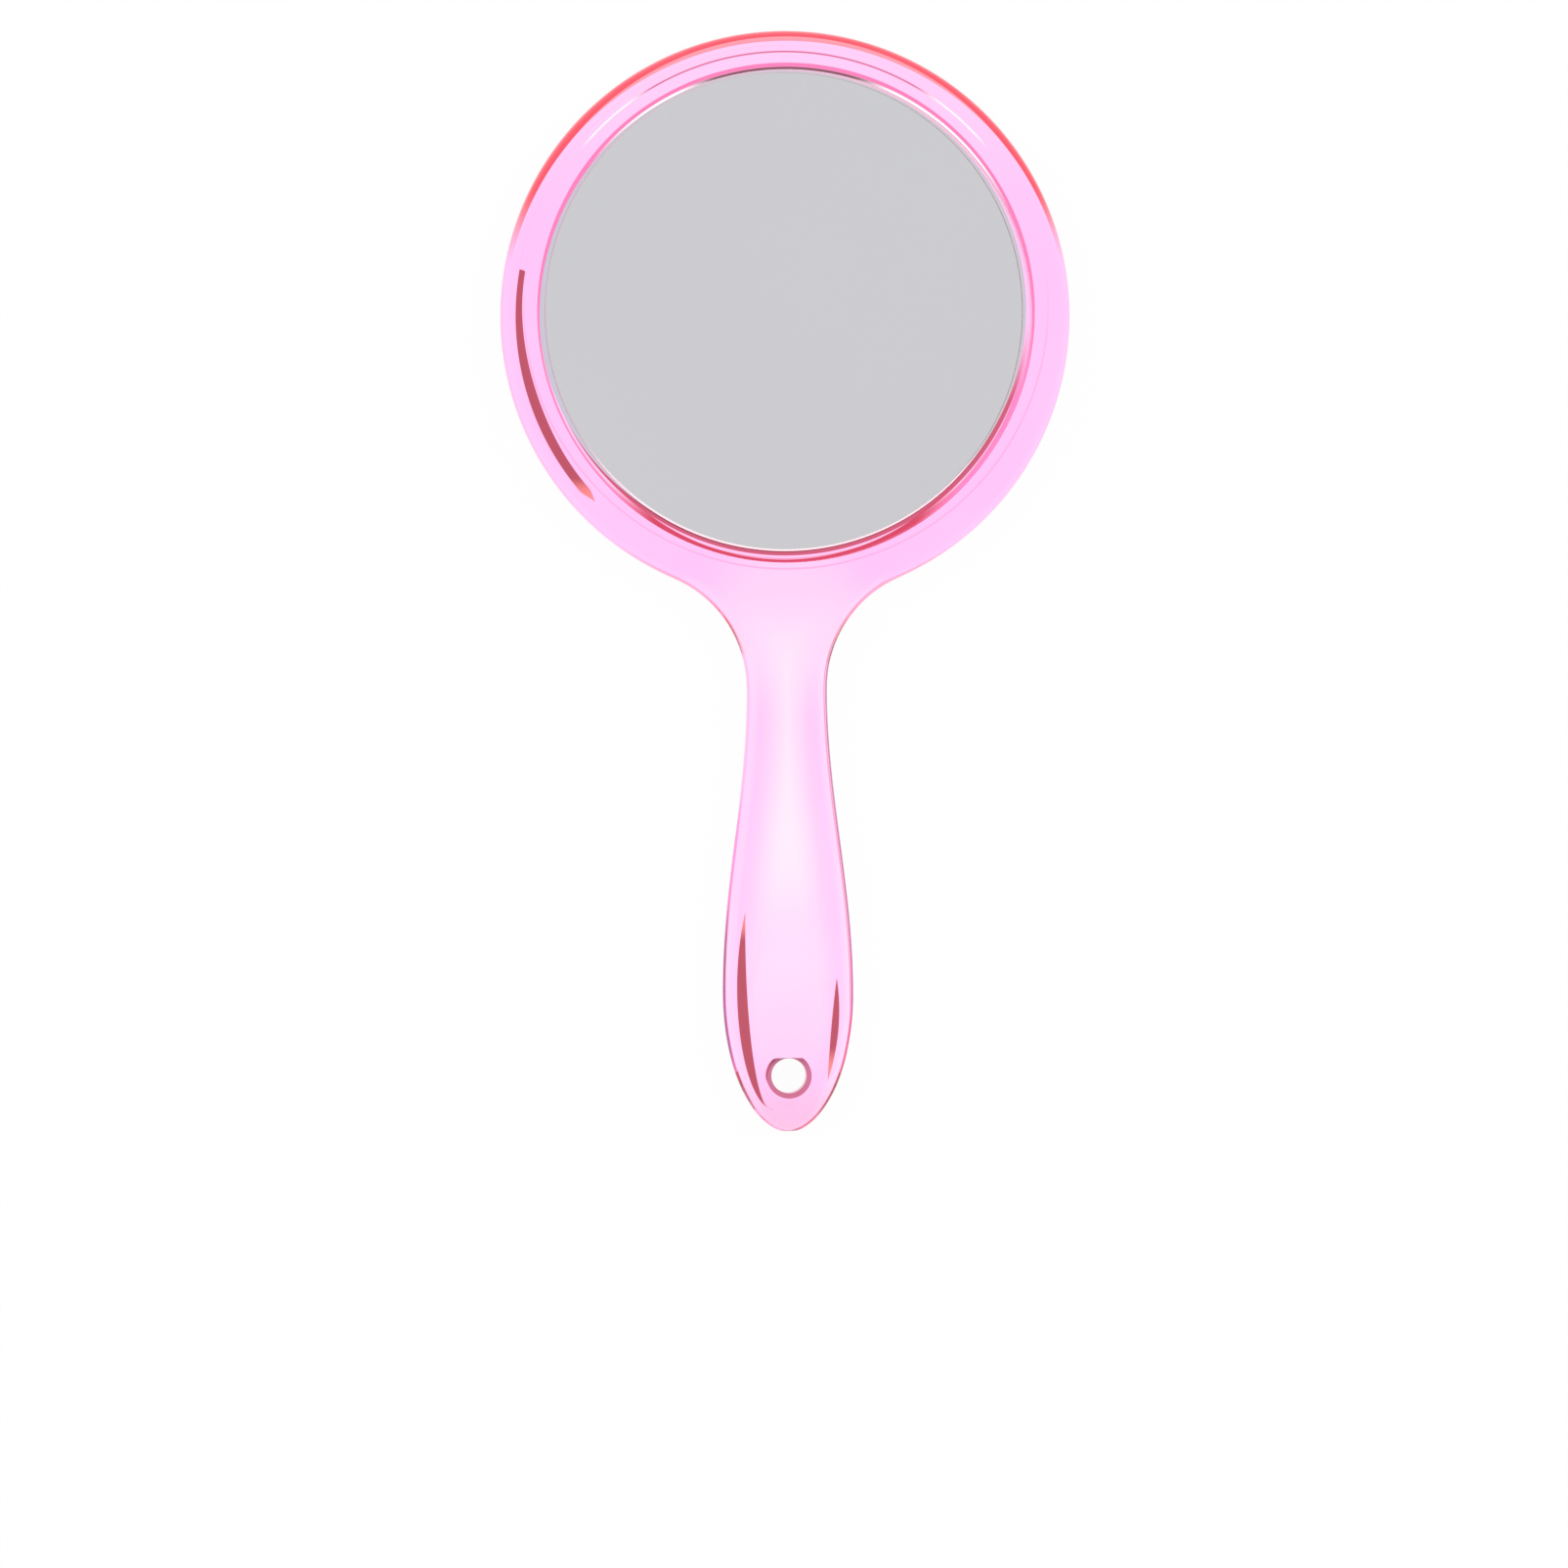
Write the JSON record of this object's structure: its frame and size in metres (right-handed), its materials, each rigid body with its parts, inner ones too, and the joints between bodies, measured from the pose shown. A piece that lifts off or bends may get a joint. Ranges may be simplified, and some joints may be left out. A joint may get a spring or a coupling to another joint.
{
  "type": "hand mirror",
  "caption": "Round hand mirror: a glass mirror recessed in a clear tinted plastic frame with a flared neck, a waisted handle and a hanging hole at its end.",
  "frame": {"origin": "under the middle of the outline, on the plane that the back of the head rests on", "axes": "+Z out of the mirror's face, +Y from the handle to the head, +X to the right when looking at the mirror"},
  "size_m": [0.125, 0.241, 0.0095],
  "materials": {
    "clear_plastic": "clear pink, polished",
    "mirror_glass": "clear float glass, ground edge",
    "silver": "silvered",
    "backing_paint": "flat grey paint",
    "tape": "white foam tape"
  },
  "bodies": {
    "root": {"frame": "clear_plastic", "mirror_glass": "mirror_glass", "silver_coat": "silver", "backing_paint": "backing_paint", "tape_left": "tape", "tape_middle": "tape", "tape_right": "tape"}
  },
  "joints": []
}
